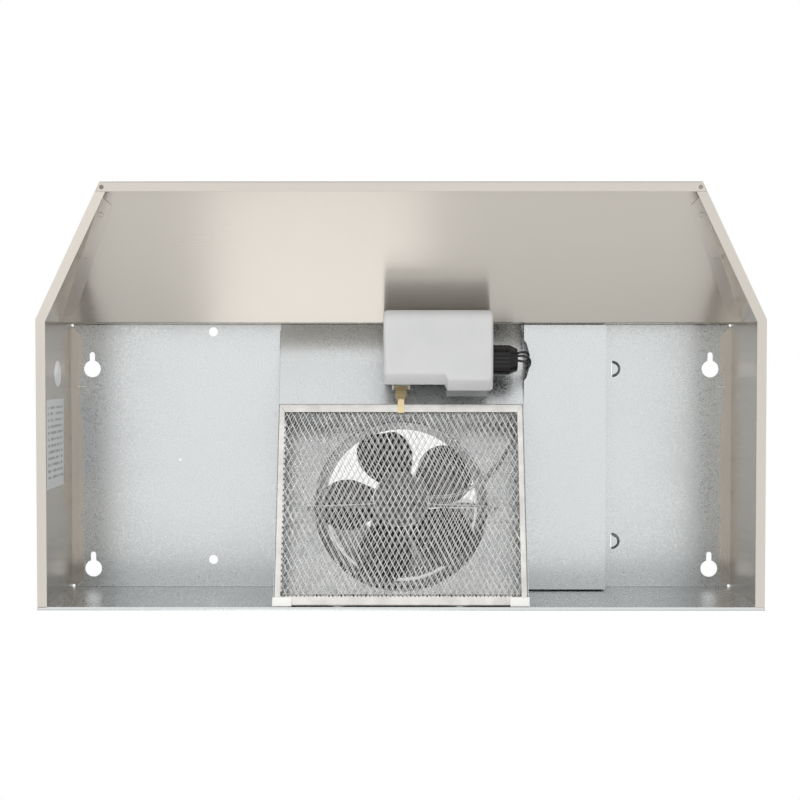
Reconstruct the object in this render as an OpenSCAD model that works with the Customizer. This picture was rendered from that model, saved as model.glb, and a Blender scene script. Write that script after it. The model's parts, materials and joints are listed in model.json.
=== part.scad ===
// Under cabinet range hood, 30 inch, with a propeller fan, a slide-out wiring cover,
// a hinged mesh filter, a lamp under a milky lens and a round duct collar with a damper.
// Origin: middle of the bottom rim. +X right, +Y towards the wall, +Z up.

/* [Shell] */
// Width from side to side
body_w = 760; // [740:1:790]
// Depth from the front lip to the wall
body_d = 447; // [435:1:460]
// Height from the bottom rim to the top of the front flange
body_h = 152; // [150:0.5:156]
// Depth of the flat top, as deep as the cabinet above it
top_d = 304; // [300:1:308]
// Height of the fold where the visor starts
fold_z = 103; // [100:1:106]
// Height of the front lip
lip_h = 25; // [22:1:28]
// How far each front corner is set in from the side
nose_inset = 67.5; // [60:0.5:75]
// Width of the bottom hems
hem_w = 10; // [8:0.5:11]
// Thickness of the sheet steel
sheet_t = 0.8; // [0.7:0.05:1.0]

/* [Mounting] */
// Keyhole spacing from side to side
keyhole_dx = 709.6; // [700:0.2:712]
// Keyhole spacing from front to rear
keyhole_dy = 230; // [226:1:232]
// Radius of a keyhole's round end
keyhole_r = 9.6; // [8.5:0.1:10]
// Outside radius of the duct collar, for 7 inch round duct
collar_r = 88.4; // [88:0.1:88.6]
// Height of the duct collar above the top
collar_h = 38; // [30:1:50]

/* [Fan and filter] */
// Slope of the fan plate and of the filter
slope = 18; // [17:0.5:18]
// Radius of the fan opening
orifice_r = 95.5; // [93:0.5:97]
// Radius of the fan at its tips
fan_r = 85.5; // [80:0.5:86]
// Pitch of the fan's petals
fan_pitch = 20; // [12:1:22]
// Width of the filter
filter_w = 266.7; // [260:0.1:267]
// Length of the filter
filter_l = 220.5; // [215:0.5:221]
// Thickness of the filter
filter_t = 9.5; // [8:0.5:10]

/* [Lamp] */
// Width of the lamp lens
lens_w = 118; // [110:1:120]
// Radius of the lamp socket
socket_r = 16.4; // [15:0.1:16.5]
// Radius of the bulb's glass
bulb_r = 23; // [20:0.5:23]

/* [Switches] */
// Width of one rocker
rocker_w = 24; // [20:0.5:24]
// Height of one rocker
rocker_h = 15; // [13:0.5:16]

/* [Hidden] */

round_fn = 96;
small_fn = 32;
half_w = body_w / 2;
front_y = -body_d / 2;
rear_y = body_d / 2;
fold_y = rear_y - top_d;
top_z = body_h - 2 * sheet_t;       // underside of the top leaf
visor_rise = (fold_z - lip_h) / (fold_y - front_y);
visor_tilt = atan(visor_rise);
wing_dy = fold_y - front_y;
wing_cos = wing_dy / sqrt(wing_dy * wing_dy + nose_inset * nose_inset);
bend_steps = 4;
bend_r = 1.2;
cut = 1;                            // how far a cutting solid runs past what it cuts

stainless = [0.74, 0.71, 0.67];
galvanised = [0.74, 0.77, 0.78];
aluminium = [0.86, 0.86, 0.84];
white_plastic = [0.93, 0.93, 0.92];
black_plastic = [0.07, 0.07, 0.07];
steel = [0.6, 0.6, 0.61];

// ---------- sheet metal ----------

function heading(a, b) = atan2(b[1] - a[1], b[0] - a[0]);
function turn(a, b, c) =
    let (d = heading(b, c) - heading(a, b)) d > 180 ? d - 360 : d < -180 ? d + 360 : d;
// The stations of one rounded bend at b: [point, heading] pairs
function bend_at(a, b, c, r) =
    let (h = heading(a, b), q = turn(a, b, c), s = sign(q), back = r * tan(abs(q) / 2),
         start = b - back * [cos(h), sin(h)], centre = start + s * r * [-sin(h), cos(h)])
    [for (i = [0 : bend_steps]) let (g = h + q * i / bend_steps)
        [centre - s * r * [-sin(g), cos(g)], g]];
function sheet_run(p, r) = concat(
    [[p[0], heading(p[0], p[1])]],
    [for (i = [1 : len(p) - 2]) each bend_at(p[i - 1], p[i], p[i + 1], r)],
    [[p[len(p) - 1], heading(p[len(p) - 2], p[len(p) - 1])]]);
function sheet_side(run, d) = [for (s = run) s[0] + d * [-sin(s[1]), cos(s[1])]];

// Section of a sheet bent along the middle line p
module bent_sheet(p, t = sheet_t, r = bend_r) {
    run = sheet_run(p, r);
    left = sheet_side(run, t / 2);
    right = sheet_side(run, -t / 2);
    polygon(concat(left, [for (i = [len(run) - 1 : -1 : 0]) right[i]]));
}

// Draws a section that is given as (Y, Z) from x0 to x1
module across(x0, x1) translate([x0, 0, 0]) rotate([90, 0, 90]) linear_extrude(x1 - x0) children();

module plate(points, z, t = sheet_t) translate([0, 0, z]) linear_extrude(t) polygon(points);

// Pressed joint that holds two sheets: a raised ring under the sheet with a dimple in it
module clinch(r = 3.2, h = 0.7) translate([0, 0, -h]) difference() {
    cylinder(r = r, h = h + 0.05, $fn = small_fn);
    translate([0, 0, -cut]) cylinder(r = r * 0.62, h = h + cut - 0.1, $fn = small_fn);
}

// Middle plane of the visor at depth y
function visor_z(y) = fold_z + (y - fold_y - sheet_t / 2) * visor_rise;
// Side line of the mitred front, moved in by inset
function wing_x(y, inset) = half_w - (fold_y - y) * nose_inset / wing_dy - inset / wing_cos;

module on_visor() translate([0, fold_y + sheet_t / 2, fold_z]) rotate([visor_tilt, 0, 0]) children();
function on_visor_x(v, inset) = wing_x(fold_y + sheet_t / 2 - v * cos(visor_tilt), inset);

module plan_outline() linear_extrude(2 * body_h, center = true) polygon([
    [-half_w, 0], [-half_w, fold_y], [-wing_x(front_y, 0), front_y],
    [wing_x(front_y, 0), front_y], [half_w, fold_y], [half_w, 0]]);

corner_relief = [half_w - 2.4, fold_y + 2.3, rear_y - 2];   // x, front y and rear y
module corner_reliefs() for (sx = [-1, 1], y = [corner_relief[1], corner_relief[2]])
    translate([sx * corner_relief[0], y, top_z - cut]) cylinder(r = 1.6, h = 5, $fn = small_fn);

// ---------- shell ----------

top_flange_d = 18;
front_hem_w = 10.5;
switch_x = 186;       // middle of the switch pair
switch_z = 136;
switch_pitch = 34;
switch_cut = [68, 20];

module front_panel() color(stainless) difference() {
    intersection() {
        across(-half_w, half_w) bent_sheet([
            [fold_y + top_flange_d, body_h - sheet_t / 2],
            [fold_y + sheet_t / 2, body_h - sheet_t / 2],
            [fold_y + sheet_t / 2, fold_z],
            [front_y + sheet_t / 2, lip_h],
            [front_y + sheet_t / 2, sheet_t / 2],
            [front_y + front_hem_w, sheet_t / 2]]);
        plan_outline();
    }
    corner_reliefs();
    // room for the wings' lower edges beside the front hem
    for (sx = [0, 1]) mirror([sx, 0, 0]) plate([
        [wing_x(front_y + sheet_t, sheet_t + 0.2), front_y + sheet_t],
        [wing_x(front_y + 15, sheet_t + 0.2), front_y + 15],
        [half_w, front_y + 15], [half_w, front_y + sheet_t]], -cut, 3);
    // drain holes in the front hem
    for (sx = [-1, 1]) translate([sx * 310.5, front_y + 6, -cut])
        cylinder(r = 2.4, h = 3, $fn = small_fn);
    // clearance over the service hole
    translate([service_holes[0][0], service_holes[0][1], top_z - cut])
        cylinder(r = 6, h = 4, $fn = round_fn);
    // window for the switches
    translate([switch_x - switch_cut[0] / 2, fold_y - cut, switch_z - switch_cut[1] / 2])
        cube([switch_cut[0], 3, switch_cut[1]]);
}

side_flange_x = half_w - 14;
side_flange_z = top_z - sheet_t;
notch = 3;
side_clinches_left = [-29.5, 50.7, 96, 124.7, 177.6];
side_clinches_right = [-28.8, -0.7, 75.3, 113.7, 179.5];
wing_clinches = [24, 76, 129];      // distances down the visor from the fold
wing_flange_w = 13;

// The right-hand side panel; the left-hand one is its mirror image
module side_panel(clinch_ys) {
    edge = half_w - sheet_t / 2;
    wing_end = front_y + sheet_t + 0.5;
    rim = half_w - sheet_t + 0.2;
    lift = 0.2;
    intersection() {
        linear_extrude(top_z) bent_sheet([[edge, rear_y], [edge, fold_y],
            [wing_x(wing_end, sheet_t / 2), wing_end]]);
        across(wing_x(front_y, 0) - 10, half_w) polygon([
            [rear_y, 0], [rear_y, top_z], [fold_y + sheet_t + 0.1, top_z],
            [fold_y + sheet_t + 0.1, visor_z(fold_y + sheet_t) - 0.6],
            [front_y, visor_z(front_y) - 0.6], [front_y, 0]]);
    }
    // flange under the top leaf, notched for the pointed tab and near the rear
    plate([[rim, fold_y + 2], [side_flange_x, fold_y + 14], [side_flange_x, -26],
        [side_flange_x + notch, -21], [side_flange_x + notch, 22], [side_flange_x, 27],
        [side_flange_x, 138], [side_flange_x + notch, 141], [side_flange_x + notch, 149],
        [side_flange_x, 152], [side_flange_x, rear_y - 10], [side_flange_x + 6, rear_y - 4],
        [rim, rear_y - 4]], side_flange_z);
    for (y = clinch_ys) translate([half_w - 5.4, y, side_flange_z]) clinch();
    // pointed tab that locates the top leaf
    translate([0, -8, 0]) rotate([90, 0, 0]) linear_extrude(sheet_t, center = true) polygon([
        [side_flange_x + notch + 1, side_flange_z + 0.1], [side_flange_x + notch + 1, side_flange_z - 5],
        [side_flange_x - 5.5, side_flange_z - 2.4], [side_flange_x - 5.5, side_flange_z - 1.6],
        [side_flange_x + notch - 1, side_flange_z + 0.1]]);
    // bottom hem along the side and the wing
    plate([[rim, rear_y - 3.2], [half_w - hem_w, rear_y - 3.2], [half_w - hem_w, fold_y + 2.2],
        [wing_x(front_y + front_hem_w + 0.3, hem_w), front_y + front_hem_w + 0.3],
        [wing_x(front_y + front_hem_w + 0.3, sheet_t - lift), front_y + front_hem_w + 0.3],
        [rim, fold_y]], 0);
    // flange under the visor
    on_visor() {
        plate([[on_visor_x(3, 0.4), -3], [on_visor_x(14, wing_flange_w), -14],
            [on_visor_x(140, wing_flange_w), -140], [on_visor_x(151, 0.4), -151]],
            -1.5 * sheet_t - 0.1);
        for (v = wing_clinches) translate([on_visor_x(v, 6.2), -v, -1.5 * sheet_t - 0.1]) clinch();
    }
}

module right_side_panel() color(stainless) side_panel(side_clinches_right);
module left_side_panel() color(stainless) mirror([1, 0, 0]) side_panel(side_clinches_left);

duct_y = 129;
duct_hole_r = 88.9;
keyhole_y = [-28.4, -28.4 + keyhole_dy];
keyhole_slot_r = 3;
keyhole_run = 16.2;
front_clinches = [[-342, -71.6], [-266, -71.6], [267.6, -70.6], [343.7, -70.6]];
service_holes = [[-215.6, -70.9], [-216.4, 191.5]];
pilot_hole = [-254.2, 76.1];
cover_lances = [-28.4, 169.8];
cover_lance_x = 241.2;
cover_lance_r = 9.6;
rear_lances = [-66.5, 61.5];
bushing = [152, 134];      // X and Z of the cable entry in the rear leaf
bushing_r = 9;

module keyhole() {
    cylinder(r = keyhole_r, h = 4, $fn = round_fn);
    translate([-keyhole_slot_r, -keyhole_run, 0]) cube([2 * keyhole_slot_r, keyhole_run, 4]);
    translate([0, -keyhole_run, 0]) cylinder(r = keyhole_slot_r, h = 4, $fn = small_fn);
}

// Half of a pressed dome, open along its flat side
module half_lance(r, rise) intersection() {
    translate([0, 0, -rise]) difference() {
        cylinder(r1 = r - 3.5, r2 = r, h = rise + 0.1, $fn = small_fn * 2);
        translate([0, 0, sheet_t]) cylinder(r1 = r - 4.3, r2 = r - 0.8, h = rise, $fn = small_fn * 2);
    }
    translate([0, -r, -rise - cut]) cube([r, 2 * r, rise + 2 * cut]);
}

// A ring of slots that leaves a disc held by two tabs
module round_knockout(r) difference() {
    cylinder(r = r, h = 4, $fn = round_fn);
    translate([0, 0, -cut]) cylinder(r = r - 0.7, h = 6, $fn = round_fn);
    translate([-1.5, -r - cut, -cut]) cube([3, 2 * r + 2 * cut, 6]);
}

// A frame of slots that leaves a panel held by tabs
module duct_knockout(w, h) rotate([90, 0, 0]) linear_extrude(4, center = true) difference() {
    square([w, h], center = true);
    square([w - 1.6, h - 1.6], center = true);
    for (x = [-w / 3, 0, w / 3]) translate([x, 0]) square([5, h + 2], center = true);
    square([w + 2, 5], center = true);
}

module top_rear_panel() color(galvanised) {
    difference() {
        across(-half_w + 0.1, half_w - 0.1) bent_sheet([
            [fold_y + sheet_t + 1.1, top_z + sheet_t / 2], [rear_y - sheet_t / 2, top_z + sheet_t / 2],
            [rear_y - sheet_t / 2, sheet_t / 2], [rear_y - sheet_t - 3, sheet_t / 2]]);
        for (sx = [-1, 1]) translate([sx * half_w, rear_y, -cut]) translate([-0.9, -8, 0])
            cube([1.8, 9, top_z + cut]);
        corner_reliefs();
        translate([0, duct_y, top_z - cut]) cylinder(r = duct_hole_r, h = 4, $fn = round_fn);
        for (sx = [-1, 1], y = keyhole_y) translate([sx * keyhole_dx / 2, y, top_z - cut]) keyhole();
        for (p = service_holes) translate([p[0], p[1], top_z - cut])
            cylinder(r = 5.2, h = 4, $fn = round_fn);
        translate([pilot_hole[0], pilot_hole[1], top_z - cut]) cylinder(r = 1.3, h = 4, $fn = small_fn);
        for (y = cover_lances) translate([cover_lance_x, y - 7, top_z - cut]) cube([1.4, 14, 4]);
        translate([190, 160, top_z - cut]) round_knockout(11.1);
        // rear leaf: slots, duct knockout and cable entry
        for (sx = [-1, 1]) {
            translate([sx * 356, rear_y, 144]) cube([6, 4, 2.4], center = true);
            translate([sx * 357, rear_y, 53]) cube([6, 4, 1.6], center = true);
            translate([sx * 143.5, rear_y, 26]) cube([10, 4, 1.2], center = true);
        }
        translate([0, rear_y, 102]) duct_knockout(254, 82);
        for (x = rear_lances) translate([x, rear_y, 2.9]) cube([20, 4, 1.6], center = true);
        translate([bushing[0], rear_y + cut, bushing[1]]) rotate([90, 0, 0])
            cylinder(r = bushing_r, h = 4, $fn = round_fn);
    }
    for (p = front_clinches) translate([p[0], p[1], top_z]) clinch();
    for (y = cover_lances) translate([cover_lance_x + 1.2, y, top_z]) half_lance(cover_lance_r, 3.4);
    // ledges that the filter's rear edge rests on
    for (x = rear_lances) intersection() {
        translate([x, rear_y - sheet_t + 17.6, 2]) cylinder(r = 21.3, h = sheet_t, $fn = round_fn);
        translate([x - 13, rear_y - sheet_t - 5, 1.5]) cube([26, 5.1, 2]);
    }
}

// ---------- fan plate and plenum ----------

slope_y = fold_y + 1.5;       // where the plate's middle plane meets the front panel
slope_z = body_h - 2;
module on_slope(y = 0, z = 0)
    translate([0, slope_y, slope_z]) rotate([-slope, 0, 0]) translate([0, y, z]) children();
function plate_z(y) = slope_z - (y - slope_y) * tan(slope);

plate_w = 275;
plate_t = 0.7;
plate_l = 316.4;
fan_y = 210.5;                // fan axis, measured down the slope
roll_r = 7;
lead_hole = [130.2, 131];     // where the motor leads pass the plate

module venturi_plate() color(galvanised) {
    difference() {
        on_slope() union() {
            translate([-plate_w / 2, 0.4, -plate_t / 2]) cube([plate_w, plate_l - 0.4, plate_t]);
            // rolled rim round the fan
            translate([0, fan_y, 0]) rotate_extrude($fn = round_fn) intersection() {
                translate([orifice_r + roll_r, roll_r - plate_t / 2]) difference() {
                    circle(r = roll_r, $fn = small_fn);
                    circle(r = roll_r - plate_t, $fn = small_fn);
                }
                translate([orifice_r, -plate_t / 2]) square([roll_r, roll_r]);
            }
        }
        on_slope() {
            translate([0, fan_y, -cut]) cylinder(r = orifice_r + plate_t, h = 3 * cut, $fn = round_fn);
            translate([lead_hole[0], lead_hole[1], -cut]) cylinder(r = 4, h = 3 * cut, $fn = small_fn);
        }
        // slots for the lens's lugs
        for (x = lug_x) translate([x - 0.4, lug_y - 0.4, 130]) cube([lens_t + 0.8, lug_w + 0.8, 20]);
    }
    // rear leaf along the wall
    translate([-plate_w / 2, rear_y - sheet_t - 0.9, plate_z(rear_y - 2) + 0.2]) cube([plate_w, plate_t, 12]);
    // rim between the opening's edge and the roll
    on_slope(fan_y, 0) difference() {
        translate([0, 0, roll_r - plate_t / 2 - 0.1]) cylinder(r = orifice_r + plate_t, h = 1.2, $fn = round_fn);
        cylinder(r = orifice_r, h = 12, $fn = round_fn);
    }
}

plenum_x = plate_w / 2;
plenum_clinches = [-52.2, 24.5, 110, 190];
module plenum_wall() {
    front = fold_y + 8;
    rear = rear_y - sheet_t - 1;
    translate([-plenum_x - 0.9, 0, 0]) across(0, plate_t) polygon([
        [front, top_z - 0.2], [front, plate_z(front) - 0.2], [rear, plate_z(rear) - 0.2], [rear, top_z - 0.2]]);
    plate([[-plenum_x - 0.3, fold_y + 2.5], [-plenum_x - 3, fold_y + 2.5], [-plenum_x - 12, fold_y + 6.5],
        [-plenum_x - 12, rear], [-plenum_x - 0.3, rear]], top_z - plate_t, plate_t);
    for (y = plenum_clinches) translate([-plenum_x - 5.5, y, top_z - plate_t]) clinch();
}
module left_plenum_wall() color(galvanised) plenum_wall();
module right_plenum_wall() color(galvanised) difference() {
    mirror([1, 0, 0]) plenum_wall();
    on_slope(121, 22.5) translate([plenum_x - 2, 0, 0]) rotate([0, 90, 0])
        cylinder(r = 4.5, h = 6, $fn = small_fn);
}

filter_y = 9.2;
filter_z = 72;
module on_filter() translate([0, filter_y, filter_z]) rotate([-slope, 0, 0]) children();
housing_w = 265;
housing_y = [110.5, 315];     // front and rear wall, measured down the slope
housing_z = -36.6;

module filter_housing() color(galvanised) on_slope() difference() {
    translate([-housing_w / 2, housing_y[0], housing_z])
        cube([housing_w, housing_y[1] - housing_y[0], -housing_z - plate_t / 2]);
    translate([-housing_w / 2 + sheet_t, housing_y[0] + sheet_t, housing_z - cut])
        cube([housing_w - 2 * sheet_t, housing_y[1] - housing_y[0] - 2 * sheet_t, -housing_z + 2 * cut]);
    // window for the latch's foot
    translate([-11, housing_y[0] - cut, housing_z - cut]) cube([22, 3, 8 + cut]);
}

// ---------- wiring cover ----------

cover_x = [138.6, 231];
cover_z = 121.6;
cover_rear = rear_y - sheet_t - 1.6;
cover_front = fold_y + 2.2;
cover_notch = [-61.2, -15];
embossed_rows = [[164, 204, 70.8], [158, 209, 82], [172, 197, 92.5], [167, 202, 103.7]];

module wiring_cover() color(galvanised) difference() {
    union() {
        plate([[cover_x[0], cover_front], [cover_x[1], cover_front], [cover_x[1], cover_rear],
            [cover_x[0], cover_rear], [cover_x[0], cover_notch[1]],
            [cover_x[0] + 3, cover_notch[1] - 4], [cover_x[0] + 6.2, cover_notch[1] - 16],
            [cover_x[0] + 6.2, cover_notch[0] + 16], [cover_x[0] + 3, cover_notch[0] + 4],
            [cover_x[0], cover_notch[0]]], cover_z, plate_t);
        translate([cover_x[1] - plate_t, cover_front, cover_z])
            cube([plate_t, cover_rear - cover_front, side_flange_z - cover_z + 0.7]);
        translate([cover_x[1] - plate_t, cover_front, side_flange_z])
            cube([10.6, cover_rear - cover_front, plate_t]);
        // shallow pressed dashes
        for (row = embossed_rows) for (x = [row[0] : 4.6 : row[1]])
            translate([x, row[2], cover_z - 0.15]) cube([2.6, 4, 0.3]);
    }
    // slots that clear the lances
    for (y = cover_lances) translate([cover_x[1] + 6, y - cover_lance_r - 1, side_flange_z - cut])
        cube([6, 2 * cover_lance_r + 2, 3]);
    for (y = cover_screw_y) translate([cover_x[1] + 4.5, y, side_flange_z - cut])
        cylinder(r = 2, h = 3, $fn = small_fn);
}
cover_screw_y = [52, 212];

// Hex washer head screw that points up from the head's seat
module hex_screw(d, l, head = 7, washer = 10) {
    translate([0, 0, -0.8]) cylinder(d = washer, h = 0.8, $fn = small_fn);
    translate([0, 0, -3.8]) cylinder(d = head, h = 3.1, $fn = 6);
    translate([0, 0, -0.1]) cylinder(d = d, h = l, $fn = small_fn);
}
module cover_screws() color(steel) for (y = cover_screw_y)
    translate([cover_x[1] + 4.5, y, side_flange_z]) hex_screw(3.4, 0.7, 5.5, 7);

// ---------- filter ----------

bar_side = 6.5;
bar_end = 9.4;
mesh_t = 0.4;
mesh_layers = 3;

module filter_frame() color(aluminium) on_filter() difference() {
    translate([-filter_w / 2, 0, 0]) cube([filter_w, filter_l, filter_t]);
    // the window, and the channel behind it that holds the mesh
    translate([-filter_w / 2 + bar_side, bar_end, -cut])
        cube([filter_w - 2 * bar_side, filter_l - 2 * bar_end, filter_t + 2 * cut]);
    translate([-filter_w / 2 + sheet_t, sheet_t, sheet_t])
        cube([filter_w - 2 * sheet_t, filter_l - 2 * sheet_t, filter_t - 2 * sheet_t]);
}

// Each layer of expanded mesh as one thin sheet that fills the same outline
module filter_mesh() color([0.7, 0.7, 0.7]) on_filter() for (i = [0 : mesh_layers - 1])
    translate([-filter_w / 2 + 1.5, 1.5, 1.4 + i * (filter_t - 2.8 - mesh_t) / (mesh_layers - 1)])
        cube([filter_w - 3, filter_l - 3, mesh_t]);

corner_w = 20;
corner_l = 8.6;
// Clip that wraps the filter's rear corner
module filter_corner() on_filter() difference() {
    translate([-filter_w / 2 - 1.4, filter_l - corner_l, -1.3]) cube([corner_w, corner_l + 0.9, 6]);
    translate([-filter_w / 2 - 0.1, filter_l - corner_l - cut, -0.1])
        cube([corner_w + cut, corner_l + cut + 0.1, filter_t + 3]);
}
module left_filter_corner() color(white_plastic) filter_corner();
module right_filter_corner() color(white_plastic) mirror([1, 0, 0]) filter_corner();

tan_plastic = [0.8, 0.68, 0.45];
// Tab folded under the filter's front bar
module filter_pull_tab() color(tan_plastic) on_filter() rotate([90, 0, 90])
    linear_extrude(7, center = true) bent_sheet([[10.5, -0.7], [-4.5, -0.7], [-4.5, 2.4]], 1.2, 1);

latch_y = -8;
latch_z = 121;
latch_pin_r = 1.4;
// Springy tongue that hangs from the plate in front of the filter
module latch_tongue() color(tan_plastic) {
    intersection() {
        across(-7, 7) bent_sheet([[latch_y, latch_z], [latch_y + 5, latch_z - 12],
            [latch_y + 11.5, 96], [latch_y + 12, 82], [latch_y + 14.5, 79]], 1.4, 6);
        translate([0, 60, 0]) rotate([90, 0, 0]) linear_extrude(120) polygon([
            [-4, latch_z + 2], [-6, 112], [-6, 102], [-4, 88], [-3.5, 76],
            [3.5, 76], [4, 88], [6, 102], [6, 112], [4, latch_z + 2]]);
    }
    translate([-9.2, latch_y, latch_z]) rotate([0, 90, 0]) cylinder(r = latch_pin_r, h = 18.4, $fn = small_fn);
}
// White stop in the housing's front wall, over the filter's front bar
module latch_foot() color(white_plastic) on_slope() {
    translate([-10, housing_y[0] + 1, housing_z + 1]) cube([20, 7.5, 5]);
    translate([-9, housing_y[0] - 1.2, housing_z + 1]) cube([18, 2.4, 5]);
}
// White saddle under the plate, whose cheeks carry the tongue
module latch_base() color(white_plastic) {
    difference() {
        for (sx = [-1, 1]) translate([sx * 9.2 - 1, latch_y - 3, latch_z - 3.5])
            cube([2, 6, plate_z(latch_y + 3) - latch_z + 2.9]);
        translate([-12, latch_y, latch_z]) rotate([0, 90, 0]) cylinder(r = latch_pin_r + 0.06, h = 24, $fn = small_fn);
    }
    translate([-10.2, latch_y - 3, plate_z(latch_y + 3) - 2]) cube([20.4, 6, 1.4]);
}
module latch_hooks() color(steel) for (sx = [-1, 1]) translate([sx * 8.6, 7.5, plate_z(7.5) - 3.15])
    rotate([0, 90, 0]) rotate([0, 0, 90]) rotate_extrude(angle = 250, $fn = small_fn)
        translate([2, 0]) circle(r = 0.6, $fn = 16);

// ---------- lamp ----------

lens_x = -19;
lens_bottom = 41;
lens_front = -92.3;
lens_rear = -11.9;
lens_step = -5.4;
lens_t = 2;
lug_x = [lens_x, lens_x + lens_w - lens_t];
lug_y = -67;
lug_w = 8;
lamp_y = -38.6;
lamp_z = 88;

// Lens section as (Y, Z), moved in by d: a long curve at the front, a bevel at the rear
function lens_section(d, rear) = concat(
    [[rear - d, 122.5], [rear - d, 54 + 0.4 * d], [rear - 13 - 0.6 * d, lens_bottom + d]],
    [for (a = [270 : -15 : 180]) [lens_front + 12, lens_bottom + 12] + (12 - d) * [cos(a), sin(a)]],
    [[lens_front + d, 92], [fold_y + 2.5, 100.5], [fold_y + 2.5, 128], [-30, 128]]);

module lens_body(x0, x1, rear) {
    difference() {
        across(x0, x1) polygon(lens_section(0, rear));
        across(x0 + lens_t, x1 - lens_t) polygon(lens_section(lens_t, rear));
        // open top
        across(x0 + lens_t, x1 - lens_t) polygon([[fold_y + 2.5 + lens_t, 90], [rear - lens_t, 90],
            [rear - lens_t, 140], [fold_y + 2.5 + lens_t, 140]]);
    }
}

module lamp_lens() color([0.9, 0.91, 0.93]) difference() {
    union() {
        lens_body(lens_x, lens_x + lens_w, lens_rear);
        difference() {
            lens_body(lens_x + 68, lens_x + lens_w, lens_step);
            translate([lens_x + 67, lens_front - cut, 0])
                cube([lens_w - 67 - lens_t, lens_rear - lens_t - lens_front + cut, 150]);
        }
        // lugs that plug into the plate
        for (x = lug_x) translate([x, lug_y, 120]) cube([lens_t, lug_w, 27]);
        // foot at the rear
        translate([lens_x + 70, lens_step - 0.5, 119.6]) cube([lens_w - 72, 8.5, 1.6]);
    }
    // the deeper part opens into the lens
    across(lens_x + 68 + lens_t, lens_x + lens_w - lens_t) polygon([[lens_rear - 4, 60], [lens_rear + 1, 60],
        [lens_rear + 1, 140], [lens_rear - 4, 140]]);
    // U notch for the socket
    translate([lens_x + lens_w - 4, lamp_y, lamp_z]) rotate([0, 90, 0])
        cylinder(r = socket_r + 0.7, h = 6, $fn = round_fn);
    translate([lens_x + lens_w - 4, lamp_y - socket_r - 0.7, lamp_z]) cube([6, 2 * socket_r + 1.4, 60]);
}

socket_x = [88, 128];
socket_ribs = 24;
base_r = 13.1;
module lamp_socket() color(black_plastic) translate([0, lamp_y, lamp_z]) rotate([0, 90, 0]) difference() {
    union() {
        translate([0, 0, socket_x[0]]) cylinder(r = socket_r, h = 31, $fn = round_fn);
        translate([0, 0, socket_x[0] + 31]) cylinder(r1 = socket_r, r2 = 12.5, h = 9, $fn = round_fn);
    }
    translate([0, 0, socket_x[0] - cut]) cylinder(r = base_r + 0.4, h = 26, $fn = round_fn);
    for (i = [0 : socket_ribs - 1]) rotate(i * 360 / socket_ribs)
        translate([socket_r, 0, socket_x[0] + 12]) cylinder(r = 0.8, h = 40, $fn = 12);
}
module socket_bracket() color(galvanised) {
    translate([105, lamp_y - 8, lamp_z + socket_r + 0.2]) cube([16, 16, sheet_t]);
    across(120.2, 120.2 + sheet_t) polygon([[lamp_y - 8, lamp_z + socket_r + 0.2],
        [lamp_y + 8, lamp_z + socket_r + 0.2], [lamp_y + 8, plate_z(lamp_y + 8) - 0.8],
        [lamp_y - 8, plate_z(lamp_y - 8) - 0.8]]);
    intersection() {
        translate([105, lamp_y - 8, lamp_z + socket_r + 0.2]) cube([16, 16, 40]);
        on_slope(0, -plate_t / 2 - 1.1) translate([105, 20, 0]) cube([16, 50, 1]);
    }
}
bulb_x = 38;
bulb_neck = 14;
glass_t = 0.8;
module bulb_form(inset) {
    translate([0, 0, bulb_x]) sphere(r = bulb_r - inset, $fn = 64);
    translate([0, 0, bulb_x + bulb_neck]) cylinder(r1 = sqrt(bulb_r * bulb_r - bulb_neck * bulb_neck) - inset,
        r2 = base_r - 0.6 - inset, h = 32 + (inset > 0 ? cut : 0), $fn = 64);
}
module bulb_glass() color([0.97, 0.97, 0.95]) translate([0, lamp_y, lamp_z]) rotate([0, 90, 0]) difference() {
    bulb_form(0);
    bulb_form(glass_t);
}
module bulb_base() color(steel) translate([bulb_x + 46, lamp_y, lamp_z]) rotate([0, 90, 0]) {
    cylinder(r = base_r, h = 22, $fn = 64);
    translate([0, 0, 22]) cylinder(r1 = base_r - 1, r2 = 5, h = 4, $fn = 64);
}

// ---------- leads ----------

function unit(v) = v / norm(v);
function tangent(p, i) = unit(p[min(i + 1, len(p) - 1)] - p[max(i - 1, 0)]);
// Points of a smooth curve through p, with n steps between neighbours
function spline(p, n) = concat([for (i = [0 : len(p) - 2]) let (
        a = p[max(i - 1, 0)], b = p[i], c = p[i + 1], d = p[min(i + 2, len(p) - 1)])
    for (k = [0 : n - 1]) let (t = k / n)
        0.5 * (2 * b + (c - a) * t + (2 * a - 5 * b + 4 * c - d) * t * t
            + (3 * b - a - 3 * c + d) * t * t * t)], [p[len(p) - 1]]);

// Tube swept along a route; hint is a direction that the route never takes
module lead(points, r, hint = [0.4, 0.3, 1], steps = 4) {
    route = spline(points, steps);
    n = 8;
    rings = len(route);
    ring_points = [for (i = [0 : rings - 1]) let (t = tangent(route, i), a = unit(cross(t, hint)), b = cross(t, a))
        for (k = [0 : n - 1]) route[i] + r * (cos(360 * k / n) * a + sin(360 * k / n) * b)];
    walls = [for (i = [0 : rings - 2], k = [0 : n - 1]) let (j = (k + 1) % n)
        each [[i * n + k, (i + 1) * n + j, i * n + j], [i * n + k, (i + 1) * n + k, (i + 1) * n + j]]];
    ends = [[for (k = [0 : n - 1]) k], [for (k = [n - 1 : -1 : 0]) (rings - 1) * n + k]];
    polyhedron(ring_points, concat(ends, walls), convexity = 6);
}

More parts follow.
